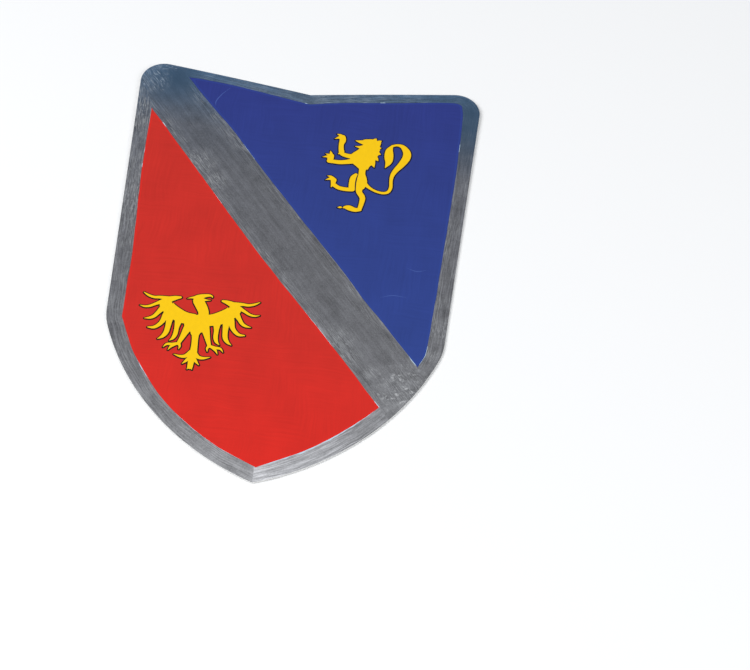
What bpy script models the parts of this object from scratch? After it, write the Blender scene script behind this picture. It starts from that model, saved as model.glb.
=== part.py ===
"""Craft-card heater shield: one die-cut sheet of white card, lying face up.

Metres, +X to the viewer's right, +Y from the point to the top edge, +Z up. The origin is on the
surface that the sheet lies on, under the middle of its outline's box.
"""

import math

import bmesh
import bpy
from mathutils import Matrix, Vector
from mathutils.geometry import delaunay_2d_cdt

# Outline, before its corners and shoulders are rounded
CORNER_SPAN = 0.299  # from one top corner to the other
NOTCH_TO_TIP = 0.403  # down the middle
CORNER_RISE = 0.0195  # from the notch up to the corners
SHOULDER_DROP = 0.260  # from the notch down to the shoulders, where the sides end
SIDE_DRAW_IN = 0.0115  # how far each side leans in on its way down
TOP_BULGE = 0.001  # of each half of the top edge, beyond a straight line
ARC_BULGE = 0.023  # of each lower edge, beyond a straight line
CORNER_RADIUS = 0.021
SHOULDER_RADIUS = 0.055

# Sheet
CARD_THICKNESS = 0.001
FLAT_WIDTH = 0.100  # of the oval middle that lies flat on the surface
FLAT_LENGTH = 0.140
SIDE_LIFT = 0.001  # how far the painted sheet has curled up halfway along its sides

# Fineness of the mesh
EDGE_STEP = 0.010
ARC_STEP = math.radians(9)
GRID_STEP = 0.013
MERGE_DISTANCE = 1e-7

# Raw white card
CARD_COLOUR = (0.86, 0.85, 0.82, 1.0)
CARD_ROUGHNESS = 0.75


def clear_scene():
    for item in list(bpy.data.objects):
        bpy.data.objects.remove(item, do_unlink=True)


def card_material():
    material = bpy.data.materials.new("white_card")
    material.use_nodes = True
    shader = material.node_tree.nodes["Principled BSDF"]
    shader.inputs["Base Color"].default_value = CARD_COLOUR
    shader.inputs["Roughness"].default_value = CARD_ROUGHNESS
    shader.inputs["Metallic"].default_value = 0.0
    return material


def wide_arc(start, end, bulge):
    """Centre and radius of the arc from start to end that bulges to the left of that way."""
    chord = end - start
    outward = Vector((-chord.y, chord.x)).normalized()
    radius = (chord.length_squared / 4 + bulge**2) / (2 * bulge)
    return (start + end) / 2 + outward * (bulge - radius), radius


def rounding(corner, along_side, arc, radius, crossing):
    """The circle that touches both a straight side and a wide arc from inside.

    The side runs through corner, with the sheet on its right-hand side. crossing is -1 where the
    side comes off the arc and 1 where it runs into it. Gives the circle's centre, and the points
    where it touches the arc and the side.
    """
    arc_centre, arc_radius = arc
    inward = Vector((along_side.y, -along_side.x))
    offset = corner + inward * radius - arc_centre
    across = offset.dot(along_side)
    reach = across**2 - offset.length_squared + (arc_radius - radius) ** 2
    centre = corner + inward * radius + along_side * (crossing * math.sqrt(reach) - across)
    on_arc = arc_centre + (centre - arc_centre).normalized() * arc_radius
    return centre, on_arc, centre - inward * radius


def straight_points(start, end):
    """Points from start up to, but without, end."""
    count = math.ceil((end - start).length / EDGE_STEP)
    return [start.lerp(end, i / count) for i in range(count)]


def arc_points(centre, start, end):
    """Points clockwise round centre, from start up to, but without, end."""
    spoke = start - centre
    sweep = spoke.angle_signed(end - centre)
    count = math.ceil(abs(sweep) * max(1 / ARC_STEP, spoke.length / EDGE_STEP))
    return [centre + Matrix.Rotation(-sweep * i / count, 2) @ spoke for i in range(count)]


def shield_outline():
    """The outline's points, counter-clockwise, with the middle of its box at zero."""
    notch = Vector((0.0, 0.0))
    corner = Vector((CORNER_SPAN / 2, CORNER_RISE))
    shoulder = Vector((CORNER_SPAN / 2 - SIDE_DRAW_IN, -SHOULDER_DROP))
    tip = Vector((0.0, -NOTCH_TO_TIP))

    top_edge = wide_arc(notch, corner, TOP_BULGE)
    low_edge = wide_arc(shoulder, tip, ARC_BULGE)
    down = (shoulder - corner).normalized()
    corner_middle, corner_start, side_start = rounding(corner, down, top_edge, CORNER_RADIUS, -1)
    turn_middle, turn_end, side_end = rounding(corner, down, low_edge, SHOULDER_RADIUS, 1)

    right_side = arc_points(top_edge[0], notch, corner_start)[1:]
    right_side += arc_points(corner_middle, corner_start, side_start)
    right_side += straight_points(side_start, side_end)
    right_side += arc_points(turn_middle, side_end, turn_end)
    right_side += arc_points(low_edge[0], turn_end, tip)
    left_side = [Vector((-point.x, point.y)) for point in right_side]

    top = max(point.y for point in right_side)
    middle = Vector((0.0, (top + tip.y) / 2))
    return [point - middle for point in [notch, *left_side, tip, *reversed(right_side)]]


def curl(x, y):
    """Height of the sheet's underside: flat in the middle, then rising faster and faster."""
    beyond_flat = max(0.0, math.hypot(2 * x / FLAT_WIDTH, 2 * y / FLAT_LENGTH) - 1)
    at_side = CORNER_SPAN / FLAT_WIDTH - 1
    return SIDE_LIFT * (beyond_flat / at_side) ** 2


def is_inside(point, outline):
    """Whether a point is inside a closed outline, from how many edges lie to its right."""
    inside = False
    for start, end in zip(outline, outline[1:] + outline[:1]):
        if (start.y > point.y) != (end.y > point.y):
            share = (point.y - start.y) / (end.y - start.y)
            if point.x < start.lerp(end, share).x:
                inside = not inside
    return inside


def grid_points(outline):
    """A square grid of points over the sheet, kept clear of its edge."""
    columns = math.ceil(max(point.x for point in outline) / GRID_STEP)
    rows = math.ceil(max(point.y for point in outline) / GRID_STEP)
    points = []
    for row in range(-rows, rows + 1):
        for column in range(-columns, columns + 1):
            point = Vector((column * GRID_STEP, row * GRID_STEP))
            nearest = min((point - edge_point).length for edge_point in outline)
            if nearest > GRID_STEP / 2 and is_inside(point, outline):
                points.append(point)
    return points


def card_shield(material):
    """The sheet's underside as triangles, made as thick as the card by a modifier."""
    outline = shield_outline()
    edge_loop = list(range(len(outline)))
    inside_only = 1
    points, _, faces, *_ = delaunay_2d_cdt(
        outline + grid_points(outline), [], [edge_loop], inside_only, MERGE_DISTANCE
    )

    mesh = bpy.data.meshes.new("card_shield")
    build = bmesh.new()
    corners = [build.verts.new((point.x, point.y, curl(point.x, point.y))) for point in points]
    for face in faces:
        build.faces.new([corners[i] for i in face])
    build.to_mesh(mesh)
    build.free()
    mesh.materials.append(material)

    shield = bpy.data.objects.new("card_shield", mesh)
    bpy.context.collection.objects.link(shield)
    thickness = shield.modifiers.new("thickness", "SOLIDIFY")
    thickness.thickness = CARD_THICKNESS
    thickness.offset = 1.0
    return shield


clear_scene()
card_shield(card_material())
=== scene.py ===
"""A painted craft-card shield, dressed over its packed sheet of card.

Metres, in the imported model's frame: +X to the viewer's right, +Y from the point to the top edge,
+Z up, out of the painted face. The paint's layout and figures are given in millimetres on the flat
sheet, because that is how a painter would mark them out.
"""

import math

import bmesh
import bpy
from mathutils import Matrix, Vector, kdtree, noise
from mathutils.geometry import delaunay_2d_cdt, intersect_point_line, interpolate_bezier


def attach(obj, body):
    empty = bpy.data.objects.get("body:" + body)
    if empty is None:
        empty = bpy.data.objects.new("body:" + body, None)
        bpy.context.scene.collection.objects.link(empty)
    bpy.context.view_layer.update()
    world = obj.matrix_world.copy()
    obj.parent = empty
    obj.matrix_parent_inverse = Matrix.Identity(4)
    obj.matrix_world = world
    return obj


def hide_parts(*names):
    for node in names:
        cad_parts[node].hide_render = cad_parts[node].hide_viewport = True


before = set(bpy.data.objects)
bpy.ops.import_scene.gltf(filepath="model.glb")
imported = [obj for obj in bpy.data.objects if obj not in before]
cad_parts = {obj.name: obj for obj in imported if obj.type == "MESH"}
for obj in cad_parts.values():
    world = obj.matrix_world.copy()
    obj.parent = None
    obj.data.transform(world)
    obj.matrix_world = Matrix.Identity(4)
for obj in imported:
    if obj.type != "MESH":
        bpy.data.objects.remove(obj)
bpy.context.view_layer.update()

# Sheet, as cut
CORNER_SPAN = 0.299
NOTCH_TO_TIP = 0.403
CORNER_RISE = 0.0195
SHOULDER_DROP = 0.260
SIDE_DRAW_IN = 0.0115
TOP_BULGE = 0.001
ARC_BULGE = 0.023
CORNER_RADIUS = 0.021
SHOULDER_RADIUS = 0.055
CARD_THICKNESS = 0.001
FLAT_WIDTH = 0.100
FLAT_LENGTH = 0.140
SIDE_LIFT = 0.001
EDGE_ROUNDING = 0.00015  # of the upper edge, pressed over by the cutting die
BACK_EDGE = 0.00005  # of the lower edge

# Fineness of the mesh
EDGE_STEP = 0.003
ARC_STEP = math.radians(3)
TOP_GRID = 0.003
BACK_GRID = 0.009
CLEAR_OF_EDGES = 0.4  # of a grid's step
MERGE_DISTANCE = 0.00003  # points of the painting that are nearer than this become one
CURVE_POINTS = 7  # on each stretch of a smooth curve, with both of its ends
LEAST_MITRE = 0.4  # so that a sharp corner isn't moved too far
INSIDE_ONLY = 1  # the cutting up of a sheet keeps only what lies inside it

# Painted layout, in millimetres
MM = 0.001

# A line drawn by hand: the step of its points, how far it strays, and the lengths of its waves
HAND_STEP = 2.0
HAND_WOBBLE = 0.3
LONG_WAVE = 23.0
SHORT_WAVE = 7.0
SHORT_WAVE_SHARE = 0.6

# Layers of the noise, one for each kind of wave
LONG_LAYER = 0.5
SHORT_LAYER = 7.5
THIN_LAYER = 2.5

# The inside of the border, as drawn by hand: stretches that meet at the notch, the upper left
# corner, the left shoulder and the point
INNER_STRETCHES = [
    [(0.0, 182.3), (-30.5, 188.0), (-70.0, 194.6), (-97.0, 197.3), (-108.0, 197.8), (-135.0, 204.0)],
    [(-135.0, 204.0), (-133.7, 132.0), (-131.5, 72.0), (-127.2, 10.0), (-125.9, -33.0), (-124.8, -65.0)],
    [(-124.8, -65.0), (-108.3, -102.2), (-77.3, -144.0), (-37.2, -176.6), (1.2, -195.6)],
    [(1.2, -195.6), (42.6, -171.5), (78.7, -140.1), (107.0, -106.5), (121.4, -76.3), (124.4, -62.0),
     (127.1, -17.0), (130.3, 50.0), (133.6, 130.0), (134.2, 178.0), (133.4, 193.0), (130.5, 199.4),
     (119.0, 200.0), (100.0, 197.7), (69.4, 193.5), (29.7, 188.1), (0.0, 182.3)],
]

# The two long edges of the bend, a broad diagonal band
BEND_LOW_EDGE = [(-160.0, 212.0), (-147.2, 187.1), (-139.4, 172.1), (-133.6, 157.2), (-124.7, 146.1),
                 (-78.6, 86.9), (-51.4, 51.1), (-23.7, 15.6), (14.3, -30.9), (43.1, -65.4),
                 (80.4, -112.4), (140.0, -187.0)]
BEND_HIGH_EDGE = [(-150.0, 250.5), (-90.7, 177.3), (-61.1, 143.4), (-33.6, 107.7), (3.7, 60.7),
                  (41.6, 14.2), (68.7, -21.7), (87.9, -44.7), (115.9, -80.0), (180.0, -159.0)]
BEND_ACROSS = Vector((0.779, 0.627)).normalized()
BEND_ALONG = Vector((BEND_ACROSS.y, -BEND_ACROSS.x))
BEND_MIDDLE = 17.0  # across, from the sheet's middle to the band's


def wide_arc(start, end, bulge):
    """Centre and radius of the arc from start to end that bulges to the left of that way."""
    chord = end - start
    outward = Vector((-chord.y, chord.x)).normalized()
    radius = (chord.length_squared / 4 + bulge**2) / (2 * bulge)
    return (start + end) / 2 + outward * (bulge - radius), radius


def rounding(corner, along_side, arc, radius, crossing):
    """The circle that touches a straight side and a wide arc from inside: its centre, and where it
    touches the arc and the side."""
    arc_centre, arc_radius = arc
    inward = Vector((along_side.y, -along_side.x))
    offset = corner + inward * radius - arc_centre
    across = offset.dot(along_side)
    reach = across**2 - offset.length_squared + (arc_radius - radius) ** 2
    centre = corner + inward * radius + along_side * (crossing * math.sqrt(reach) - across)
    on_arc = arc_centre + (centre - arc_centre).normalized() * arc_radius
    return centre, on_arc, centre - inward * radius


def straight_points(start, end):
    """Points from start up to, but without, end."""
    count = math.ceil((end - start).length / EDGE_STEP)
    return [start.lerp(end, i / count) for i in range(count)]


def arc_points(centre, start, end):
    """Points clockwise round centre, from start up to, but without, end."""
    spoke = start - centre
    sweep = spoke.angle_signed(end - centre)
    count = math.ceil(abs(sweep) * max(1 / ARC_STEP, spoke.length / EDGE_STEP))
    return [centre + Matrix.Rotation(-sweep * i / count, 2) @ spoke for i in range(count)]


def half_outline():
    """The right half of the cut outline, from the notch to the tip, round the middle of its box."""
    notch = Vector((0.0, 0.0))
    corner = Vector((CORNER_SPAN / 2, CORNER_RISE))
    shoulder = Vector((CORNER_SPAN / 2 - SIDE_DRAW_IN, -SHOULDER_DROP))
    tip = Vector((0.0, -NOTCH_TO_TIP))

    top_edge = wide_arc(notch, corner, TOP_BULGE)
    low_edge = wide_arc(shoulder, tip, ARC_BULGE)
    down = (shoulder - corner).normalized()
    corner_middle, corner_start, side_start = rounding(corner, down, top_edge, CORNER_RADIUS, -1)
    turn_middle, turn_end, side_end = rounding(corner, down, low_edge, SHOULDER_RADIUS, 1)

    points = arc_points(top_edge[0], notch, corner_start)
    points += arc_points(corner_middle, corner_start, side_start)
    points += straight_points(side_start, side_end)
    points += arc_points(turn_middle, side_end, turn_end)
    points += arc_points(low_edge[0], turn_end, tip) + [tip]
    top = max(point.y for point in points)
    middle = Vector((0.0, (top + tip.y) / 2))
    return [point - middle for point in points]


RIGHT_HALF = half_outline()
LEFT_HALF = [Vector((-point.x, point.y)) for point in RIGHT_HALF]
OUTLINE = LEFT_HALF + RIGHT_HALF[-2:0:-1]
HALF_SIZE = Vector((max(point.x for point in OUTLINE), max(point.y for point in OUTLINE)))


def curl(x, y):
    """Height of the sheet's underside: flat in the middle, then rising faster and faster."""
    beyond_flat = max(0.0, math.hypot(2 * x / FLAT_WIDTH, 2 * y / FLAT_LENGTH) - 1)
    at_side = CORNER_SPAN / FLAT_WIDTH - 1
    return SIDE_LIFT * (beyond_flat / at_side) ** 2


def signed_area(polygon):
    return sum(a.x * b.y - b.x * a.y for a, b in zip(polygon, polygon[1:] + polygon[:1])) / 2


def counter_clockwise(polygon):
    return polygon if signed_area(polygon) > 0 else polygon[::-1]


def side_of_way(points, i):
    """The direction to the left of a path at its point i."""
    way = points[min(i + 1, len(points) - 1)].xy - points[max(i - 1, 0)].xy
    return Vector((-way.y, way.x)).normalized()


def unevenness(run, wave, seed, layer):
    """Smooth noise along a line, between about -1 and 1, in waves of a given length."""
    return noise.noise(Vector((run / wave, seed, layer)))


def by_hand(points, seed):
    """A path drawn freehand: each point strays a little to one side."""
    drawn = []
    run = 0.0
    for i, point in enumerate(points):
        run += (point - points[i - 1]).length if i else 0.0
        stray = unevenness(run, LONG_WAVE, seed, LONG_LAYER)
        stray += SHORT_WAVE_SHARE * unevenness(run, SHORT_WAVE, seed, SHORT_LAYER)
        drawn.append(point + side_of_way(points, i) * stray * HAND_WOBBLE)
    return drawn


def curve_through(points):
    """A smooth curve through points. A point's handles are a sixth as long as the way between its
    two neighbours."""
    ends = [2 * points[0] - points[1], *points, 2 * points[-1] - points[-2]]
    curve = []
    for before, start, end, after in zip(ends, ends[1:], ends[2:], ends[3:]):
        stretch = interpolate_bezier(
            start, start + (end - before) / 6, end - (after - start) / 6, end, CURVE_POINTS
        )
        curve += stretch[:-1]
    return curve + [points[-1].copy()]


LEAST_REACH = 0.05  # from the middle of a brush mark to its side
CAP_TURNS = [math.radians(turn) for turn in (36, 72, 108, 144)]


def brush_mark(points, grow=0.0):
    """The closed outline of a brush mark through points of (x, y, width), with round ends."""
    path = curve_through([Vector(point) for point in points])
    left = []
    right = []
    for i, here in enumerate(path):
        reach = side_of_way(path, i) * max(LEAST_REACH, here.z / 2 + grow)
        left.append(here.xy + reach)
        right.append(here.xy - reach)
    start_cap = [path[0].xy + Matrix.Rotation(turn, 2) @ (left[0] - path[0].xy) for turn in CAP_TURNS]
    end_cap = [path[-1].xy + Matrix.Rotation(turn, 2) @ (right[-1] - path[-1].xy) for turn in CAP_TURNS]
    return counter_clockwise(left[::-1] + start_cap + right + end_cap)


# Figures: (x, y, width) points of their brush marks, in millimetres from each figure's own place
LION_AT = Vector((57.3, 112.8))
EAGLE_AT = Vector((-60.9, -66.3))
LINE_WIDTH = 1.1  # of the dark line round a figure, which is heavier below it
LINE_DROP = Vector((0.1, -0.3))
THIGH_LINE = [(-6.9, -1.6, 0.6), (-7.9, -7.6, 1.1), (-8.1, -13.8, 1.1), (-7.6, -20.6, 0.8)]
CLAW_HOOK = Vector((0.3, 0.8))
CLAW_WAIST = 0.62  # of the width at its root

# Locks of the mane: where they start and hook on their way from its middle to their tips
MANE_MIDDLE = Vector((-1.5, 22.0))
MANE_TIPS = [(4.9, 39.0), (9.4, 37.1), (9.9, 28.8), (10.0, 21.6), (8.6, 14.4), (5.9, 6.8), (0.5, 3.6)]
LOCK_START = 0.6
LOCK_HOOK = 0.84
LOCK_LIFT = Vector((-0.2, 0.9))

# The eagle's right side mirrors its left across an upright axis, and rises a little outwards
EAGLE_AXIS = -2.3
EAGLE_TILT = 0.055


def claws(root, tips, width):
    """Curved claws from one root, each hooked a little downwards."""
    marks = []
    for tip in tips:
        middle = (Vector(root) + Vector(tip)) / 2 + CLAW_HOOK
        marks.append([(*root, width), (*middle, width * CLAW_WAIST), (*tip, 0.0)])
    return marks


def lion():
    """A lion rampant, facing left."""
    marks = [
        # Neck and torso, from the crown down to the hips
        [(0.2, 30, 13), (0, 25, 14.5), (-1.6, 19, 17), (-2.8, 12.5, 14.6), (-3.6, 7, 9.6),
         (-4.0, 2.6, 5.4)],
        [(-4.0, 3.6, 5.6), (-3.9, -1.5, 5.8), (-3.6, -6, 8.2), (-3.3, -10.5, 9.4), (-3.6, -15, 8.0)],
        [(-12.0, 13.0, 7.4), (-8.6, 9.6, 6.4), (-5.4, 5.6, 4.6)],
        [(-3.0, 25, 11), (-7.6, 21.2, 8.0), (-11.6, 18.4, 6.4)],
        # Skull and jaws
        [(-4, 33.6, 7.0), (1, 33.8, 7.8), (5, 33.6, 6.0)],
        [(-3, 33.2, 6.8), (-7.5, 33.6, 4.0), (-10.2, 33.9, 2.3), (-12.7, 34.5, 0.6)],
        [(-3, 28.0, 7.4), (-7.2, 27.6, 4.2), (-9.8, 27.8, 2.0), (-12.7, 28.2, 0.4)],
        # Raised foreleg, with a sharp elbow
        [(-6, 17.5, 9.6), (-11.5, 17.0, 6.6), (-16.2, 16.5, 4.7), (-21.4, 17.6, 4.1), (-23.4, 18.8, 4.0)],
        [(-23.7, 20.6, 4.8), (-24.4, 24, 4.3), (-24.7, 29, 4.3), (-24.0, 33.2, 5.4), (-24.6, 36.5, 5.6)],
        [(-23.6, 20.0, 4.2), (-24.9, 18.8, 2.4), (-26.4, 17.6, 0.2)],
        # Forward foreleg
        [(-6, 14, 10), (-12, 12.0, 6.2), (-18, 10.0, 4.6), (-24, 8.8, 4.2), (-30, 8.9, 4.0),
         (-33.2, 9.0, 4.0)],
        [(-32.6, 9.4, 4.4), (-32.3, 12.6, 5.4), (-31.8, 15.0, 4.6)],
        # Raised hind leg: thigh, shank and paw
        [(-8.8, -3.0, 3.0), (-10.5, -6.5, 5.2), (-11.0, -12, 5.6), (-10.7, -18, 5.8)],
        [(-10.2, -19.6, 4.0), (-15.6, -20.0, 3.9), (-21.8, -19.2, 3.9), (-26.2, -16.6, 3.9)],
        [(-28.4, -19.2, 0.6), (-27.3, -15.6, 3.4), (-27.0, -11.4, 4.9)],
        # Standing leg, foot and toe
        [(-3.4, -12, 9), (-4.4, -17.2, 6.2), (-4.1, -21.6, 5.0), (-0.9, -27.2, 4.8), (-1.0, -33, 4.1),
         (-1.9, -39.0, 3.6)],
        [(-1.9, -40.4, 3.4), (-6.0, -41.1, 4.3), (-10.8, -39.7, 5.2), (-14.2, -39.5, 3.2),
         (-15.7, -40.2, 1.0)],
        [(-17.5, -40.0, 1.4), (-18.6, -40.1, 2.0), (-20.6, -40.5, 0.2)],
        # Tail, and the leaf-shaped tuft at its end
        [(-1.5, -11, 5.6), (0.8, -13.2, 3.7), (4.7, -16.3, 2.5), (9.7, -18.9, 2.3), (15.5, -20, 2.4),
         (20, -18.4, 2.7), (21.9, -13.2, 2.8), (21.5, -6, 2.8), (22, 0, 3.5), (24.4, 6, 4.5),
         (28.5, 12.7, 5.7), (31.9, 19.9, 6.8), (32.4, 25.5, 6.7), (30.3, 30.2, 5.4), (27, 33.4, 3.6),
         (22.8, 34, 2.2), (19.2, 32.6, 2.3)],
        [(18.8, 32.6, 1.8), (17.0, 27, 6.2), (17.2, 20.5, 7.6), (17.4, 14.3, 5.6), (15.1, 7.6, 0.2)],
    ]
    marks += claws((-24.6, 36.2), [(-29.6, 39.6), (-31.2, 34.0)], 4.2)
    marks += claws((-32.0, 13.0), [(-39.4, 12.6), (-37.2, 16.6), (-33.4, 20.4)], 3.8)
    marks += claws((-27.6, -10.4), [(-33.0, -7.4), (-34.1, -12.2)], 4.0)
    for tip in MANE_TIPS:
        root = MANE_MIDDLE.lerp(Vector(tip), LOCK_START)
        hook = MANE_MIDDLE.lerp(Vector(tip), LOCK_HOOK) + LOCK_LIFT
        marks.append([(*root, 7.0), (*hook, 3.8), (*tip, 0.0)])
    return marks


def eagle_side():
    """The left wing and leg, as seen, with the curled feathers on that side of the tail."""
    return [
        # Wing, from the shoulder out to its bent end
        [(-6, 6.2, 11.2), (-12, 6.8, 11.4), (-18, 8.6, 12.2), (-25.6, 13.6, 11.8), (-30.2, 18.7, 11),
         (-28.8, 23.2, 6.4), (-24, 25.8, 4.2), (-19.6, 27.1, 2)],
        # Feathers, from the highest to the one by the leg
        [(-27, 24.2, 5), (-35.5, 24.9, 3), (-41, 24.4, 2.4), (-45.8, 25.7, 2), (-49.8, 28, 0.7)],
        [(-29, 22.2, 6), (-33.2, 21.2, 4.2), (-38.2, 18.2, 2.7), (-43.2, 15, 2.2), (-47.5, 14, 1.6),
         (-51.3, 14.8, 0.3)],
        [(-29, 18.6, 8), (-32, 15.2, 5.6), (-35.2, 10, 3.7), (-38.2, 5.4, 3), (-41.5, 3.2, 2.3),
         (-45.7, 2.2, 0.4)],
        [(-26, 12.5, 8), (-28.7, 8, 5.8), (-31, 0.8, 3.9), (-34, -3.6, 3.2), (-37.3, -6, 2.6),
         (-41.6, -6.3, 1)],
        [(-23.6, 10.6, 8), (-25.2, 5, 5.6), (-25.6, -3, 4.3), (-26.4, -9.6, 4), (-28.8, -14, 2.8),
         (-32.2, -16.8, 0.4)],
        [(-17, 9, 9), (-17.9, 3.8, 6.2), (-18.4, -3.3, 3.8), (-18.7, -10, 3.6), (-20.1, -14.4, 2.6),
         (-22.5, -17.2, 0.4)],
        # Leg and talons
        [(-8, 0, 9), (-10.2, -4.8, 6.2), (-12.6, -12.4, 4.1), (-14.6, -18.2, 3)],
        [(-14.4, -19, 2.8), (-19.6, -20.4, 2.6), (-23.9, -21, 2), (-26.6, -24.3, 0.3)],
        [(-17.5, -20.4, 2.4), (-20.4, -23, 2), (-22.3, -26.5, 0.3)],
        [(-14.9, -18.9, 2.4), (-13.4, -21.4, 1.9), (-13.9, -24.7, 0.3)],
        # Curled tail feathers
        [(-3.2, -26, 4.4), (-7.2, -30.5, 3.4), (-11.7, -31.4, 2.3), (-16.9, -30.1, 0.4)],
        [(-3.4, -31, 3.4), (-6.4, -35.3, 2.3), (-9, -38.4, 0.4)],
    ]


def eagle():
    """An eagle displayed, with its head turned to the right."""
    marks = [
        # Breast, neck and head
        [(-2.0, 4.4, 15), (-2.6, 2.2, 20), (-2.7, -1.5, 19), (-2.8, -6.4, 8)],
        [(1.2, 9, 8.2), (1.0, 14.6, 8.4), (-1.7, 20.4, 9.0), (-4.8, 25.4, 8.8)],
        [(-7.2, 28.3, 4.4), (-4.1, 29.7, 4.8), (0.2, 31.5, 3.3), (3.8, 32.2, 2.2), (5.9, 31.4, 1.1),
         (6.1, 30.2, 0.3)],
        [(-2.4, 27, 4.4), (2.2, 27.2, 1.2), (5, 27.5, 0.3)],
        [(-7, 28.7, 3.2), (-10.7, 28, 1.5), (-14, 26.8, 0.2)],
        # Tail
        [(-3, -4, 7), (-2.2, -12, 5.2), (-1.7, -20, 5.2), (-1.6, -28.6, 6), (-2.2, -36, 4.8),
         (-2.3, -40.8, 4.4)],
        [(-2.5, -39.4, 3.2), (-4.4, -43.4, 0.3)],
        [(-2.1, -39.4, 3.2), (-0.4, -43.2, 0.3)],
    ]
    for mark in eagle_side():
        mirrored = [(2 * EAGLE_AXIS - x, y + EAGLE_TILT * (EAGLE_AXIS - x), width) for x, y, width in mark]
        marks += [mark, mirrored]
    return marks


def placed(marks, at, grow=0.0):
    """The outlines of a figure's brush marks on the sheet, in millimetres."""
    return [brush_mark([(x + at.x, y + at.y, width) for x, y, width in mark], grow) for mark in marks]


def evenly(path, step):
    """Points along a path, close to a given step apart, with both of its ends."""
    lengths = [(b - a).length for a, b in zip(path, path[1:])]
    count = round(sum(lengths) / step)
    spaced = [path[0]]
    run = 0.0
    for start, end, length in zip(path, path[1:], lengths):
        while len(spaced) < count and run + length >= sum(lengths) * len(spaced) / count:
            share = (sum(lengths) * len(spaced) / count - run) / length
            spaced.append(start.lerp(end, share))
        run += length
    return spaced + [path[-1]]


def by_hand_through(points, seed):
    """A line drawn freehand through a few points."""
    return by_hand(evenly(curve_through([Vector(point) for point in points]), HAND_STEP), seed)


def inner_line():
    """The line that the painter drew for the inside of the border, counter-clockwise."""
    line = []
    for stretch in INNER_STRETCHES:
        line += evenly(curve_through([Vector(point) for point in stretch]), HAND_STEP)[:-1]
    return line


INNER = by_hand(inner_line(), seed=3.7)
BEND_LOW = by_hand_through(BEND_LOW_EDGE, seed=11.3)
BEND_HIGH = by_hand_through(BEND_HIGH_EDGE, seed=19.1)
BEND = BEND_LOW + BEND_HIGH[::-1]

# Unevenness of the thin strips: their usual share of the full width, how far it swings, and the
# length of its waves
THIN_USUAL = 0.75
THIN_SWING = 0.8
THIN_WAVE = 4.0
THIN_SEED = 0.3  # of the first of them


def thin_strip(path, start, length, width, seed):
    """A thin mark along a path, where neither colour quite reached and the card shows through."""
    begin = min(range(len(path)), key=lambda i: (path[i] - Vector(start)).length)
    mark = []
    run = 0.0
    for before, here in zip(path[begin:], path[begin + 1 :]):
        run += (here - before).length
        if run > length:
            break
        uneven = THIN_USUAL + THIN_SWING * unevenness(run, THIN_WAVE, seed, THIN_LAYER)
        mark.append((here.x, here.y, width * uneven * math.sin(math.pi * run / length) ** 0.5))
    return brush_mark(mark)


# Where the card shows through: the line beside it, where it starts, its length and its width
THIN_STRIPS = [
    (INNER, (6.0, -194.0), 106.0, 2.3),
    (INNER, (-106.0, -105.0), 22.0, 1.1),
    (INNER, (-70.0, -152.0), 70.0, 0.5),
    (INNER, (-133.3, 117.0), 9.0, 0.9),
    (INNER, (-132.8, 99.0), 7.0, 0.9),
    (INNER, (0.0, 182.3), 5.0, 1.2),
    (INNER, (68.0, 193.5), 7.0, 1.0),
    (INNER, (133.4, 144.0), 12.0, 0.8),
    (INNER, (118.8, -82.9), 24.0, 0.7),
    (BEND_LOW, (-124.0, 145.0), 10.0, 1.1),
    (BEND_LOW, (-70.0, 76.0), 18.0, 0.6),
    (BEND_LOW, (22.0, -38.0), 44.0, 0.8),
    (BEND_LOW, (86.0, -119.5), 10.0, 2.0),
    (BEND_HIGH, (110.0, -72.0), 14.0, 1.1),
    (BEND_HIGH, (-52.0, 132.0), 24.0, 0.5),
]

# Fine pale lines in the blue, (x, y, width): a scratch, then two painted highlights on glossy brush marks
BLUE_SCRATCHES_AND_HIGHLIGHTS = [
    [(-80.1, 169.5, 0.1), (-80.3, 174.5, 0.6), (-76.4, 182.8, 0.5), (-70.2, 191.0, 0.1)],
    [(101.0, 16.0, 0.1), (109.0, 13.4, 0.5), (117.0, 15.6, 0.1)],
    [(81.9, -17.2, 0.1), (91.6, -13.9, 0.5), (103.0, -14.5, 0.1)],
]

# The mark along the cut edge that turns the upper left corner, over the end of the bend
TURN_WIDTH = 6.5
TURN_LEFT = -137.0
TURN_RIGHT = -117.0
TURN_LOWEST = 128.0
TURN_EVERY = 3  # it goes through every third point of the outline there

# Places in the silver, in metres: (x, y, full within this distance, nothing beyond this one).
# First the end of the bend that is rubbed smooth, its pale flecks, and the top corners, which get a painted
# deep blue reflection.
RUBBED = (0.112, -0.112, 0.018, 0.048)
FLECKED = (0.109, -0.109, 0.010, 0.032)
BLUE_REFLECTION_PLACES = [(0.147, 0.182, 0.012, 0.065), (-0.117, 0.197, 0.006, 0.036)]

# Then the scuffed places
LOW_END_SCUFF = (0.112, -0.110, 0.010, 0.034)
BEND_SCUFFS = [
    (-0.086, 0.104, 0.006, 0.020),
    (-0.070, 0.086, 0.004, 0.016),
    (0.051, -0.066, 0.005, 0.020),
    (0.060, -0.083, 0.004, 0.018),
    (0.082, -0.093, 0.003, 0.010),
    (-0.138, 0.191, 0.009, 0.018),
    (0.096, -0.1035, 0.002, 0.006),
    LOW_END_SCUFF,
]
BORDER_SCUFFS = [
    (-0.127, 0.204, 0.007, 0.014),
    (-0.140, 0.150, 0.010, 0.045),
    (-0.136, 0.060, 0.010, 0.060),
    (0.010, 0.192, 0.002, 0.009),
    (0.134, -0.045, 0.004, 0.014),
    (0.131, -0.072, 0.003, 0.010),
    LOW_END_SCUFF,
]


def moved_out(ring, distance):
    """A closed, counter-clockwise ring of points, each moved outwards."""
    moved = []
    for before, here, after in zip(ring[-1:] + ring[:-1], ring, ring[1:] + ring[:1]):
        way_in = (here - before).normalized()
        way_out = (after - here).normalized()
        outward = Vector((way_in.y + way_out.y, -way_in.x - way_out.x)).normalized()
        mitre = max(LEAST_MITRE, outward.dot(Vector((way_in.y, -way_in.x))))
        moved.append(here + outward * distance / mitre)
    return moved


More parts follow.
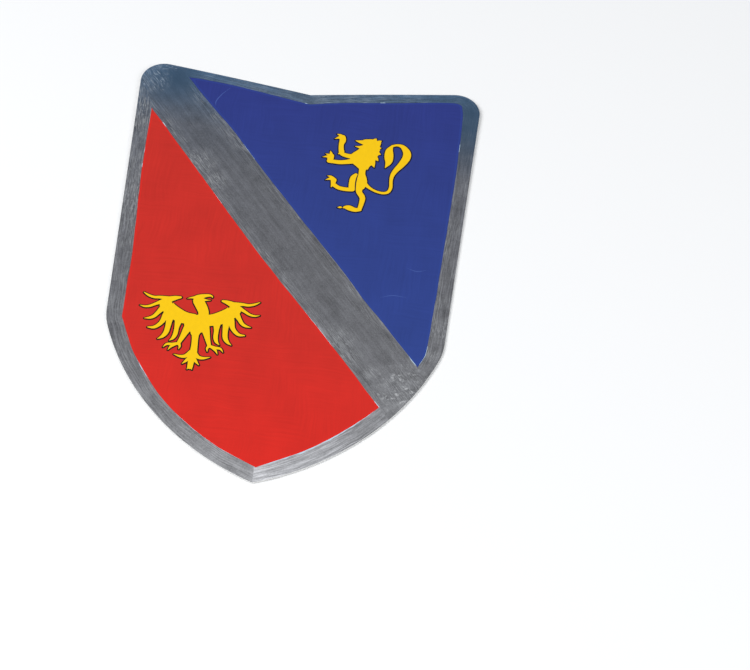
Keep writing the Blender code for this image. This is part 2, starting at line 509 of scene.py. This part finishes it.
def turn_mark():
    """The brush mark that turns the upper left corner."""
    middle = [point / MM for point in moved_out(OUTLINE, -TURN_WIDTH / 2 * MM)]
    mark = [(*at, TURN_WIDTH) for at in middle if TURN_LEFT < at.x < TURN_RIGHT and at.y > TURN_LOWEST]
    return brush_mark(mark[::TURN_EVERY])


def painted_shapes():
    """Every closed shape on the sheet, in metres, with what it is."""
    shapes = [("inside", INNER), ("bend", BEND), ("turn", turn_mark())]
    for i, strip in enumerate(THIN_STRIPS):
        shapes.append(("thin", thin_strip(*strip, seed=i + THIN_SEED)))
    shapes += [("pale_line", brush_mark(pale_line)) for pale_line in BLUE_SCRATCHES_AND_HIGHLIGHTS]
    shapes += [("lion", mark) for mark in placed(lion(), LION_AT)]
    shapes += [("lion_edge", mark) for mark in placed(lion(), LION_AT + LINE_DROP, LINE_WIDTH)]
    shapes += [("lion_line", mark) for mark in placed([THIGH_LINE], LION_AT)]
    shapes += [("eagle", mark) for mark in placed(eagle(), EAGLE_AT)]
    shapes += [("eagle_edge", mark) for mark in placed(eagle(), EAGLE_AT + LINE_DROP, LINE_WIDTH)]
    return [(kind, [point * MM for point in counter_clockwise(shape)]) for kind, shape in shapes]


def paint_of(kinds, middle):
    """The material of a place on the sheet, from the shapes that it lies in."""
    if "lion_line" in kinds:
        return "lion_outline"
    if "lion" in kinds or "eagle" in kinds:
        return "yellow_paint"
    if "lion_edge" in kinds:
        return "lion_outline"
    if "eagle_edge" in kinds:
        return "eagle_outline"
    if "inside" in kinds and "bend" not in kinds:
        # Pale lines in the blue: a scratch, and painted highlights on glossy brush marks
        if "pale_line" in kinds:
            return "blue_scratch_and_highlight"
        return "blue_paint" if middle.dot(BEND_ACROSS) > BEND_MIDDLE * MM else "red_paint"
    return "thin_paint" if "thin" in kinds else "silver_paint"


def tree_of(points):
    tree = kdtree.KDTree(len(points))
    for i, point in enumerate(points):
        tree.insert((point.x, point.y, 0.0), i)
    tree.balance()
    return tree


def distance_to(tree, point):
    return tree.find((point.x, point.y, 0.0))[2]


def grid_clear_of(points, step):
    """Rows of points over the sheet's box, each row half a step on, kept clear of other points."""
    tree = tree_of(points)
    columns = math.ceil(max(abs(point.x) for point in OUTLINE) / step)
    rows = math.ceil(max(abs(point.y) for point in OUTLINE) / step)
    grid = []
    for row in range(-rows, rows + 1):
        for column in range(-columns, columns + 1):
            point = Vector(((column + row % 2 / 2) * step, row * step))
            if distance_to(tree, point) > CLEAR_OF_EDGES * step:
                grid.append(point)
    return grid


def is_inside(point, outline):
    """Whether a point is inside a closed outline, from how many edges lie to its right."""
    inside = False
    for start, end in zip(outline, outline[1:] + outline[:1]):
        if (start.y > point.y) != (end.y > point.y):
            share = (point.y - start.y) / (end.y - start.y)
            if point.x < start.lerp(end, share).x:
                inside = not inside
    return inside


def colour_borders():
    """Points along every line on the sheet where one colour ends, and along the cut edge."""
    beside_bend = [at for at in INNER if not is_inside(at, BEND)]
    along_bend = [at for at in BEND_LOW + BEND_HIGH if is_inside(at, INNER)]
    return [at * MM for at in beside_bend + along_bend] + OUTLINE


class Edge:
    """Half of the cut edge, by which a place in the border is found."""

    def __init__(self, points, start):
        self.points = points
        self.tree = tree_of(points)
        self.runs = [start]
        for a, b in zip(points, points[1:]):
            self.runs.append(self.runs[-1] + (b - a).length)

    def find(self, place):
        """How far along the edge a place lies, and how far in from it."""
        nearest = self.tree.find((place.x, place.y, 0.0))[1]
        found = []
        for i in (nearest - 1, nearest):
            if 0 <= i < len(self.points) - 1:
                start, end = self.points[i], self.points[i + 1]
                share = min(1.0, max(0.0, intersect_point_line(place, start, end)[1]))
                off = (place - start.lerp(end, share)).length
                found.append((off, self.runs[i] + share * (self.runs[i + 1] - self.runs[i])))
        off, run = min(found)
        return run, off


# Where the brush marks of each silver strip start being counted, so that no two strips match, and
# places between the strips, by which the silver's material tells them apart
LEFT_STRIP = 0.0
RIGHT_STRIP = 1.0
BEND_STRIP = 3.0
BEFORE_RIGHT_STRIP = RIGHT_STRIP - 0.1
BEFORE_BEND_STRIP = BEND_STRIP - 0.5
STRIP_CHANGE = 0.01
LEFT_EDGE = Edge(LEFT_HALF, LEFT_STRIP)
RIGHT_EDGE = Edge(RIGHT_HALF, RIGHT_STRIP)


def stroke_place(spot, kinds, middle):
    """Along and across the brush marks at a place, in metres."""
    if "bend" in kinds and "turn" not in kinds:
        return BEND_STRIP + spot.dot(BEND_ALONG), spot.dot(BEND_ACROSS)
    return (LEFT_EDGE if middle.x < 0 else RIGHT_EDGE).find(spot)


# Lines across the border where its left and right brush marks meet, at the notch and at the point:
# from the cut edge, in metres, to the inner line, in millimetres
JOIN_LINES = [(OUTLINE[0], INNER[0]), (LEFT_HALF[-1], Vector(INNER_STRETCHES[2][-1]))]
JOIN_START = 0.02  # of the way in from the cut edge


def painted_faces():
    """The painted side cut up along every line of the painting: its points, and its faces with the
    shapes that each lies in."""
    edge = moved_out(OUTLINE, -EDGE_ROUNDING)
    loops = [("sheet", edge)] + painted_shapes()
    points = []
    faces = []
    for _, loop in loops:
        faces.append(list(range(len(points), len(points) + len(loop))))
        points += loop
    joins = []
    for outer, inner in JOIN_LINES:
        joins.append((len(points), len(points) + 1))
        points += [outer.lerp(inner * MM, JOIN_START), inner * MM]
    spots, _, cells, _, _, owners = delaunay_2d_cdt(
        points + grid_clear_of(points, TOP_GRID), joins, faces, INSIDE_ONLY, MERGE_DISTANCE
    )
    kept = []
    for cell, owner in zip(cells, owners):
        kinds = {loops[i][0] for i in owner}
        if "sheet" in kinds:
            kept.append((cell, kinds))
    return spots, kept


def boundary_ring(cells):
    """The numbers of the points round the outside of a sheet of faces, in order."""
    edges = {(a, b) for cell in cells for a, b in zip(cell, cell[1:] + cell[:1])}
    ahead = {a: b for a, b in edges if (b, a) not in edges}
    ring = [min(ahead)]
    while ahead[ring[-1]] != ring[0]:
        ring.append(ahead[ring[-1]])
    return ring


def on_sheet(spot, below):
    return Vector((spot.x, spot.y, curl(spot.x, spot.y) + CARD_THICKNESS - below))


# Down the cut edge: how far out each ring of points is from the flat top, and how far below it
EDGE_PROFILE = [
    (0.3 * EDGE_ROUNDING, 0.05 * EDGE_ROUNDING),
    (0.7 * EDGE_ROUNDING, 0.3 * EDGE_ROUNDING),
    (EDGE_ROUNDING, EDGE_ROUNDING),
    (EDGE_ROUNDING, CARD_THICKNESS - BACK_EDGE),
    (EDGE_ROUNDING - BACK_EDGE, CARD_THICKNESS),
]
PAINTED_RINGS = 2  # of faces, from the top

# Places of the three sides of the sheet on the baked picture, which is one unit square: the
# painted side on the left, the cut edge in rows beside it, and the back, smaller, on the right
BAKE_MARGIN = 0.02
BAKE_SPAN = 1 - 2 * BAKE_MARGIN
FRONT_SCALE = BAKE_SPAN / (2 * HALF_SIZE.y)
EDGE_LEFT = 0.72
EDGE_ROW = 0.002
BACK_LEFT = 0.735
BACK_WIDTH = 0.25
BACK_SCALE = BACK_WIDTH / (2 * HALF_SIZE.x)


class DressedSheet:
    """The whole sheet as one closed mesh: painted side, cut edge and back."""

    def __init__(self, materials):
        self.slots = {name: i for i, name in enumerate(materials)}
        self.build = bmesh.new()
        self.stroke = self.build.loops.layers.uv.new("Stroke")
        self.bake = self.build.loops.layers.uv.new("OFBake")
        self.reach = self.build.verts.layers.float.new("Reach")
        ring, upper = self.add_painted_side()
        lowest = self.add_cut_edge(ring, upper)
        self.add_back(moved_out(ring, EDGE_PROFILE[-1][0]), lowest)
        loose = [vert for vert in self.build.verts if not vert.link_faces]
        bmesh.ops.delete(self.build, geom=loose, context="VERTS")
        self.mesh = bpy.data.meshes.new("painted_card_shield")
        self.build.to_mesh(self.mesh)
        self.build.free()
        for material in materials.values():
            self.mesh.materials.append(material)

    def add_point(self, spot, below, reach=0.0):
        """A point of the mesh, so far below the painted side, and how far it is from a border."""
        point = self.build.verts.new(on_sheet(spot, below))
        point[self.reach] = reach
        return point

    def add_face(self, material, corners):
        """A face through corners of (point, place along the brush marks, place on the baked picture)."""
        face = self.build.faces.new([corner[0] for corner in corners])
        face.material_index = self.slots[material]
        face.smooth = True
        for loop, (_, stroke, bake) in zip(face.loops, corners):
            loop[self.stroke].uv = stroke
            loop[self.bake].uv = bake

    def add_painted_side(self):
        """The painted side. Gives its outer ring, as places on the sheet and as points of the mesh."""
        borders = tree_of(colour_borders())
        spots, cells = painted_faces()
        top = {}
        for cell, _ in cells:
            for i in cell:
                if i not in top:
                    top[i] = self.add_point(spots[i], 0.0, distance_to(borders, spots[i]))
        for cell, kinds in cells:
            middle = sum((spots[i] for i in cell), Vector((0.0, 0.0))) / len(cell)
            corners = []
            for i in cell:
                at = (spots[i] + HALF_SIZE) * FRONT_SCALE
                bake = (BAKE_MARGIN + at.x, BAKE_MARGIN + at.y)
                corners.append((top[i], stroke_place(spots[i], kinds, middle), bake))
            self.add_face(paint_of(kinds, middle), corners)
        ring = boundary_ring([cell for cell, _ in cells])
        return [spots[i] for i in ring], [top[i] for i in ring]

    def add_cut_edge(self, ring, upper):
        """Rows of faces down the cut edge, from its upper points. Gives the lowest points."""
        runs = [0.0]
        for here, after in zip(ring, ring[1:] + ring[:1]):
            runs.append(runs[-1] + (after - here).length)
        for level, (out, below) in enumerate(EDGE_PROFILE):
            material = "silver_paint" if level < PAINTED_RINGS else "white_card"
            lower = [self.add_point(spot, below) for spot in moved_out(ring, out)]
            for i in range(len(ring)):
                j = (i + 1) % len(ring)
                corners = []
                for point, run, row in (
                    (upper[i], runs[i], level),
                    (lower[i], runs[i], level + 1),
                    (lower[j], runs[i + 1], level + 1),
                    (upper[j], runs[i + 1], level),
                ):
                    bake = (EDGE_LEFT + row * EDGE_ROW, BAKE_MARGIN + BAKE_SPAN * run / runs[-1])
                    corners.append((point, (run, 0.0), bake))
                self.add_face(material, corners)
            upper = lower
        return upper

    def add_back(self, ring, ring_points):
        """The bare back, inside a ring of places on the sheet that have their points already."""
        spots, _, cells, sources, _, _ = delaunay_2d_cdt(
            ring + grid_clear_of(ring, BACK_GRID), [], [list(range(len(ring)))], INSIDE_ONLY, MERGE_DISTANCE
        )
        rim = tree_of(ring)
        back = []
        for spot, source in zip(spots, sources):
            on_ring = [i for i in source if i < len(ring)]
            if on_ring:
                back.append(ring_points[on_ring[0]])
            else:
                back.append(self.add_point(spot, CARD_THICKNESS, distance_to(rim, spot)))
        for cell in cells:
            corners = []
            for i in reversed(cell):
                across, up = HALF_SIZE.x - spots[i].x, HALF_SIZE.y + spots[i].y
                bake = (BACK_LEFT + across * BACK_SCALE, BAKE_MARGIN + up * BACK_SCALE)
                corners.append((back[i], spots[i], bake))
            self.add_face("white_card", corners)


class Paint:
    """A material, with the few node calls that the paints share."""

    def __init__(self, name):
        self.material = bpy.data.materials.new(name)
        self.material.use_nodes = True
        self.tree = self.material.node_tree
        self.shader = self.tree.nodes["Principled BSDF"]
        self.place = self.node("ShaderNodeTexCoord").outputs["Object"]

    def node(self, kind, **settings):
        made = self.tree.nodes.new(kind)
        for name, value in settings.items():
            setattr(made, name, value)
        return made

    def put(self, value, socket):
        """Give a socket its value: another socket's, or a number or colour."""
        if isinstance(value, bpy.types.NodeSocket):
            self.tree.links.new(value, socket)
        else:
            socket.default_value = value

    def attribute(self, name):
        return self.node("ShaderNodeAttribute", attribute_name=name).outputs["Fac"]

    def clouds(self, place, sizes, detail=3.0, roughness=0.55):
        """Noise whose features have the given sizes along each axis."""
        mapping = self.node("ShaderNodeMapping")
        self.put(place, mapping.inputs["Vector"])
        mapping.inputs["Scale"].default_value = [1 / size for size in sizes]
        texture = self.node("ShaderNodeTexNoise")
        self.put(mapping.outputs["Vector"], texture.inputs["Vector"])
        texture.inputs["Scale"].default_value = 1.0
        texture.inputs["Detail"].default_value = detail
        texture.inputs["Roughness"].default_value = roughness
        return texture.outputs["Fac"]

    def math(self, operation, a, b):
        made = self.node("ShaderNodeMath", operation=operation)
        self.put(a, made.inputs[0])
        self.put(b, made.inputs[1])
        return made.outputs[0]

    def times(self, a, b):
        return self.math("MULTIPLY", a, b)

    def plus(self, a, b):
        return self.math("ADD", a, b)

    def rest(self, share):
        """What is left of 1."""
        return self.math("SUBTRACT", 1.0, share)

    def swing(self, noise_value, amount):
        """How far a noise value strays from its middle, times an amount."""
        return self.times(self.math("SUBTRACT", noise_value, 0.5), amount)

    def spread(self, value, low, high, to_low=0.0, to_high=1.0):
        """A number that goes from one end to the other while a value goes from low to high."""
        made = self.node("ShaderNodeMapRange")
        self.put(value, made.inputs["Value"])
        for name, number in zip(("From Min", "From Max", "To Min", "To Max"), (low, high, to_low, to_high)):
            made.inputs[name].default_value = number
        return made.outputs["Result"]

    def fade(self, share, at_none, at_full):
        """A number that goes from one end to the other while a share goes from 0 to 1."""
        return self.spread(share, 0.0, 1.0, at_none, at_full)

    def near(self, x, y, within, beyond):
        """1 within one distance of a place on the sheet, falling to 0 beyond another."""
        made = self.node("ShaderNodeVectorMath", operation="DISTANCE")
        self.put(self.place, made.inputs[0])
        made.inputs[1].default_value = (x, y, 0.0)
        return self.spread(made.outputs["Value"], beyond, within)

    def near_any(self, places):
        """1 near any of several places."""
        nearness = 0.0
        for place in places:
            nearness = self.math("MAXIMUM", nearness, self.near(*place))
        return nearness

    def split(self, vector):
        made = self.node("ShaderNodeSeparateXYZ")
        self.put(vector, made.inputs[0])
        return made.outputs["X"], made.outputs["Y"]

    def mix(self, share, a, b, blend="MIX"):
        made = self.node("ShaderNodeMix", data_type="RGBA", blend_type=blend)
        self.put(share, made.inputs["Factor"])
        self.put(a, made.inputs["A"])
        self.put(b, made.inputs["B"])
        return made.outputs["Result"]

    def shaded(self, tone, shade):
        """A tone times a number."""
        grey = self.node("ShaderNodeCombineColor")
        for socket in grey.inputs[:3]:
            self.put(shade, socket)
        return self.mix(1.0, tone, grey.outputs[0], "MULTIPLY")

    def swayed(self, bends, amount):
        """The place on the sheet, moved about by slow noise with so many bends in a metre."""
        texture = self.node("ShaderNodeTexNoise")
        texture.inputs["Scale"].default_value = bends
        self.put(self.place, texture.inputs["Vector"])
        scaled = self.node("ShaderNodeVectorMath", operation="SCALE")
        self.put(texture.outputs["Color"], scaled.inputs[0])
        scaled.inputs["Scale"].default_value = amount
        moved = self.node("ShaderNodeVectorMath", operation="ADD")
        self.put(self.place, moved.inputs[0])
        self.put(scaled.outputs[0], moved.inputs[1])
        return moved.outputs[0]

    def ramp(self, value, stops):
        """A colour that runs through stops of (value, colour), from the lowest value to the highest."""
        low, high = stops[0][0], stops[-1][0]
        made = self.node("ShaderNodeValToRGB")
        self.put(self.spread(value, low, high), made.inputs[0])
        elements = made.color_ramp.elements
        ready = len(elements)
        for i, (at, colour) in enumerate(stops):
            share = (at - low) / (high - low)
            element = elements[i] if i < ready else elements.new(share)
            element.position = share
            element.color = (*colour, 1.0)
        return made.outputs["Color"]

    def bump(self, height, depth, strength):
        made = self.node("ShaderNodeBump")
        made.inputs["Strength"].default_value = strength
        made.inputs["Distance"].default_value = depth
        self.put(height, made.inputs["Height"])
        self.put(made.outputs["Normal"], self.shader.inputs["Normal"])

    def finish(self, colour, roughness, metallic=0.0, specular=0.2):
        self.put(colour, self.shader.inputs["Base Color"])
        self.put(roughness, self.shader.inputs["Roughness"])
        self.shader.inputs["Metallic"].default_value = metallic
        self.shader.inputs["Specular IOR Level"].default_value = specular
        return self.material


# Tones at heights on the sheet, in metres, from the point up to the top edge
# The silver's tones hold a painted reflection: lighter towards the point, and blue towards the top edge
SILVER_TONES_AND_REFLECTION = [
    (-0.205, (0.350, 0.350, 0.362)),
    (-0.160, (0.238, 0.238, 0.248)),
    (-0.100, (0.186, 0.187, 0.198)),
    (-0.040, (0.160, 0.162, 0.174)),
    (0.030, (0.145, 0.147, 0.160)),
    (0.100, (0.138, 0.143, 0.160)),
    (0.145, (0.108, 0.118, 0.142)),
    (0.190, (0.085, 0.131, 0.198)),
    (0.208, (0.078, 0.150, 0.255)),
]
# Pale scrapes, also painted highlights on the brush ridges: neutral low down, blue towards the top edge as
# a painted reflection
SCRAPE_AND_HIGHLIGHT_TONES = [
    (0.165, (0.42, 0.43, 0.44)),
    (0.190, (0.37, 0.45, 0.55)),
]
RED_TONES = [
    (-0.19, (0.615, 0.0165, 0.0095)),
    (-0.05, (0.540, 0.0195, 0.0125)),
    (0.15, (0.500, 0.0205, 0.0130)),
]
BLUE_TONES = [
    (-0.08, (0.0220, 0.0480, 0.228)),
    (0.06, (0.0210, 0.0415, 0.216)),
    (0.19, (0.0200, 0.0330, 0.200)),
]

# Tones that are the same all over
# A painted reflection of something blue, for the silver's top corners
PAINTED_REFLECTION_BLUE = (0.034, 0.077, 0.138, 1)
FLECK_TONE = (0.66, 0.67, 0.68, 1)
RED_RIM_TONE = (0.72, 0.013, 0.007, 1)
BLUE_RIM_TONE = (0.022, 0.058, 0.29, 1)
CARD_TONES = [(0.835, 0.83, 0.811, 1), (0.862, 0.857, 0.841, 1)]
FIBRE_TONE = (0.72, 0.71, 0.68, 1)
CREPT_TONE = (0.18, 0.185, 0.20, 1)

# How far from a border of colour the silver is streaky, and where the fuller line of red or blue is
STREAKY_WITHIN = 0.002
STREAKY_BEYOND = 0.013
RIM_RISE = (0.0003, 0.0012)
RIM_FALL = (0.0022, 0.0013)

# How far in from the edge of the back the crept paint reaches
CREPT_RISE = (0.0, 0.0003)
CREPT_FALL = (0.0045, 0.0005)


def silver_paint():
    """Silver poster paint in long brush marks, streaky and scuffed beside the other colours, with painted
    reflection: lighter towards the point and low in the right strip, deep blue in the top corners.
    """
    paint = Paint("silver_paint")
    along, across = paint.split(paint.node("ShaderNodeUVMap", uv_map="Stroke").outputs["UV"])
    reach = paint.attribute("Reach")
    _, up = paint.split(paint.place)

    # Noise that follows the brush marks, which waver a little
    waver = paint.swing(paint.clouds(paint.place, (0.022, 0.022, 0.022), detail=2.0), 0.0028)
    wavy = paint.node("ShaderNodeCombineXYZ")
    paint.put(along, wavy.inputs["X"])
    paint.put(paint.plus(across, waver), wavy.inputs["Y"])
    wavy = wavy.outputs[0]
    bristles = paint.clouds(wavy, (0.028, 0.0010, 1.0), detail=4.0, roughness=0.65)
    bands = paint.clouds(wavy, (0.07, 0.0050, 1.0))
    scrapes = paint.clouds(wavy, (0.012, 0.00060, 1.0), detail=2.0)
    dabs = paint.clouds(wavy, (0.0045, 0.0011, 1.0), detail=2.0, roughness=0.6)

    # Noise that lies on the sheet
    mottle = paint.clouds(paint.place, (0.010, 0.010, 0.010), detail=5.0, roughness=0.65)
    patches = paint.clouds(paint.place, (0.022, 0.022, 0.022), detail=2.0)
    grain = paint.clouds(paint.place, (0.0012, 0.0014, 0.0012), detail=2.0, roughness=0.6)
    flecks = paint.clouds(paint.place, (0.0036, 0.0036, 0.0036), roughness=0.6)

    # Where it is: in the border, low in its right strip, which gets a painted sheen, at the rubbed end,
    # close to another colour
    in_border = paint.spread(along, BEFORE_BEND_STRIP, BEFORE_BEND_STRIP - STRIP_CHANGE)
    past_left = paint.spread(along, BEFORE_RIGHT_STRIP, BEFORE_RIGHT_STRIP + STRIP_CHANGE)
    low_right_sheen = paint.times(paint.times(past_left, in_border), paint.spread(up, -0.10, -0.16))
    rubbed = paint.near(*RUBBED)
    close = paint.times(paint.spread(reach, STREAKY_BEYOND, STREAKY_WITHIN), paint.fade(rubbed, 1.0, 0.1))

    # Light and dark of the brush marks
    shade = 1.0
    for part in (
        # Painted sheen: the low part of the right strip made lighter through its brush marks
        paint.times(low_right_sheen, paint.spread(bristles, 0.38, 0.62, 0.18, 0.94)),
        paint.swing(bristles, paint.fade(close, 0.7, 2.0)),
        paint.times(paint.spread(bristles, 0.50, 0.72), paint.times(close, 0.38)),
        paint.swing(bands, paint.fade(rubbed, 0.9, 0.2)),
        paint.swing(mottle, paint.fade(rubbed, 0.7, 1.6)),
        paint.swing(grain, 0.9),
    ):
        shade = paint.plus(shade, part)
    # Painted reflection: the silver's tone runs from light at the point to blue at the top edge
    tone = paint.shaded(paint.ramp(up, SILVER_TONES_AND_REFLECTION), shade)
    # Painted reflection: the silver turns deep blue at the top corners
    blue_reflection = paint.near_any(BLUE_REFLECTION_PLACES)
    tone = paint.mix(paint.times(blue_reflection, 0.80), tone, PAINTED_REFLECTION_BLUE)

    # Scrapes and dabs where it is scuffed, the scrapes also painted highlights on the brush ridges, blue
    # towards the top as a painted reflection; then the pale flecks
    border_scuffed = paint.times(in_border, paint.near_any(BORDER_SCUFFS))
    bend_scuffed = paint.times(paint.rest(in_border), paint.near_any(BEND_SCUFFS))
    scuffed = paint.math("MAXIMUM", border_scuffed, bend_scuffed)
    patchy = paint.times(paint.spread(patches, 0.42, 0.56), paint.fade(close, 0.10, 0.9))
    scraped = paint.times(paint.spread(scrapes, 0.50, 0.62), paint.math("MAXIMUM", patchy, scuffed))
    scraped = paint.times(scraped, paint.fade(blue_reflection, 1.0, 0.1))
    dabbed = paint.times(paint.spread(dabs, 0.55, 0.63), scuffed)
    light = paint.math("MAXIMUM", scraped, dabbed)
    tone = paint.mix(paint.times(light, 0.62), tone, paint.ramp(up, SCRAPE_AND_HIGHLIGHT_TONES))
    flecked = paint.times(paint.spread(flecks, 0.57, 0.68), paint.near(*FLECKED))
    tone = paint.mix(paint.times(flecked, 0.65), tone, FLECK_TONE)
    paint.bump(paint.plus(bristles, paint.times(bands, 0.6)), depth=0.00006, strength=0.7)
    return paint.finish(tone, paint.spread(bands, 0.3, 0.7, 0.52, 0.38), metallic=0.45, specular=0.4)


def colour_coat(name, tones, rim_tone, rim_share):
    """A field of poster paint: faint brush marks both ways, and a fuller line along its border."""
    paint = Paint(name)
    reach = paint.attribute("Reach")
    _, up = paint.split(paint.place)
    swayed = paint.swayed(22.0, 0.012)
    upright = paint.clouds(swayed, (0.0019, 0.06, 1.0), detail=4.0, roughness=0.6)
    level = paint.clouds(swayed, (0.075, 0.0023, 1.0), detail=4.0, roughness=0.6)
    turned = paint.spread(paint.clouds(paint.place, (0.06, 0.06, 1.0), detail=2.0), 0.42, 0.58)
    marks = paint.plus(paint.times(upright, turned), paint.times(level, paint.rest(turned)))
    patches = paint.clouds(paint.place, (0.030, 0.045, 1.0), detail=4.0)
    shade = paint.plus(paint.plus(1.0, paint.swing(marks, 0.28)), paint.swing(patches, 0.30))
    tone = paint.shaded(paint.ramp(up, tones), shade)
    beside = paint.times(paint.spread(reach, *RIM_FALL), paint.spread(reach, *RIM_RISE))
    tone = paint.mix(paint.times(beside, rim_share), tone, rim_tone)
    paint.bump(marks, depth=0.00004, strength=0.6)
    return paint.finish(tone, paint.spread(marks, 0.35, 0.65, 0.66, 0.52))


def plain_coat(name, colour):
    """Paint put on in one small area."""
    paint = Paint(name)
    cover = paint.clouds(paint.place, (0.003, 0.005, 1.0), detail=4.0, roughness=0.6)
    tone = paint.shaded(colour, paint.plus(1.0, paint.swing(cover, 0.16)))
    paint.bump(cover, depth=0.00003, strength=0.5)
    return paint.finish(tone, 0.6, specular=0.15)


def white_card():
    """Raw card: a faint mottle, fibres that lie along the sheet, and paint that crept round its edge."""
    paint = Paint("white_card")
    reach = paint.attribute("Reach")
    fibres = paint.clouds(paint.place, (0.0006, 0.0022, 0.00015), detail=4.0, roughness=0.7)
    mottle = paint.clouds(paint.place, (0.012, 0.016, 0.012))
    smudges = paint.clouds(paint.place, (0.009, 0.009, 0.009), detail=5.0, roughness=0.6)
    tone = paint.mix(paint.spread(mottle, 0.35, 0.65), *CARD_TONES)
    tone = paint.mix(paint.spread(fibres, 0.62, 0.76, 0.0, 0.5), tone, FIBRE_TONE)
    crept = paint.times(paint.spread(reach, *CREPT_RISE), paint.spread(reach, *CREPT_FALL))
    crept = paint.times(paint.spread(smudges, 0.55, 0.63), crept)
    tone = paint.mix(paint.times(crept, 0.75), tone, CREPT_TONE)
    paint.bump(fibres, depth=0.00003, strength=0.5)
    return paint.finish(tone, 0.72, specular=0.3)


MATERIALS = {
    "white_card": white_card(),
    "silver_paint": silver_paint(),
    "red_paint": colour_coat("red_paint", RED_TONES, RED_RIM_TONE, rim_share=0.6),
    "blue_paint": colour_coat("blue_paint", BLUE_TONES, BLUE_RIM_TONE, rim_share=0.45),
    "blue_scratch_and_highlight": plain_coat("blue_scratch_and_highlight", (0.060, 0.105, 0.34, 1)),
    "yellow_paint": plain_coat("yellow_paint", (0.855, 0.525, 0.0030, 1)),
    "eagle_outline": plain_coat("eagle_outline", (0.010, 0.008, 0.005, 1)),
    "lion_outline": plain_coat("lion_outline", (0.005, 0.006, 0.022, 1)),
    "thin_paint": plain_coat("thin_paint", (0.47, 0.62, 0.72, 1)),
}
shield = bpy.data.objects.new("painted_card_shield", DressedSheet(MATERIALS).mesh)
bpy.context.collection.objects.link(shield)
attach(shield, "root")
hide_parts("card_shield")

# Floor
FLOOR_SIZE = 16.0
FLOOR_DROP = 0.0003
FLOOR_COLOUR = (0.88, 0.88, 0.88, 1)
half = FLOOR_SIZE / 2
floor_corners = [(-half, -half, 0), (half, -half, 0), (half, half, 0), (-half, half, 0)]
floor_mesh = bpy.data.meshes.new("floor")
floor_mesh.from_pydata(floor_corners, [], [(0, 1, 2, 3)])
floor_mesh.materials.append(Paint("floor").finish(FLOOR_COLOUR, 0.8))
floor = bpy.data.objects.new("floor", floor_mesh)
floor.location.z = -FLOOR_DROP
bpy.context.collection.objects.link(floor)

# Light
world = bpy.data.worlds.new("studio")
bpy.context.scene.world = world
world.use_nodes = True
sky = world.node_tree.nodes["Background"]
sky.inputs["Color"].default_value = (0.93, 0.96, 1.0, 1)
sky.inputs["Strength"].default_value = 0.50


def softbox(name, location, size, power):
    """A square light that faces the sheet."""
    light = bpy.data.lights.new(name, "AREA")
    light.shape = "SQUARE"
    light.size = size
    light.energy = power
    lamp = bpy.data.objects.new(name, light)
    lamp.location = location
    lamp.rotation_euler = (-Vector(location)).to_track_quat("-Z", "Y").to_euler()
    bpy.context.collection.objects.link(lamp)


softbox("key", location=(-1.6, -0.9, 2.4), size=1.8, power=62)
softbox("fill", location=(2.0, -1.2, 2.0), size=1.6, power=26)

# Camera
LENS = 120
SENSOR_WIDTH = 36
AIM = Vector((0.08121, -0.05610, 0.00172))
DISTANCE = 2.0336
AZIMUTH = math.radians(1.663)
ELEVATION = math.radians(54.125)
ROLL = math.radians(4.915)
away = Vector((
    math.sin(AZIMUTH) * math.cos(ELEVATION),
    -math.cos(AZIMUTH) * math.cos(ELEVATION),
    math.sin(ELEVATION),
))
level = Vector((math.cos(AZIMUTH), math.sin(AZIMUTH), 0.0))
right = Matrix.Rotation(ROLL, 3, away) @ level
axes = Matrix((right, away.cross(right), away)).transposed()
camera_data = bpy.data.cameras.new("camera")
camera_data.lens = LENS
camera_data.sensor_width = SENSOR_WIDTH
camera = bpy.data.objects.new("camera", camera_data)
camera.matrix_world = Matrix.Translation(AIM + away * DISTANCE) @ axes.to_4x4()
bpy.context.collection.objects.link(camera)
bpy.context.scene.camera = camera
bpy.context.scene.view_settings.view_transform = "Standard"
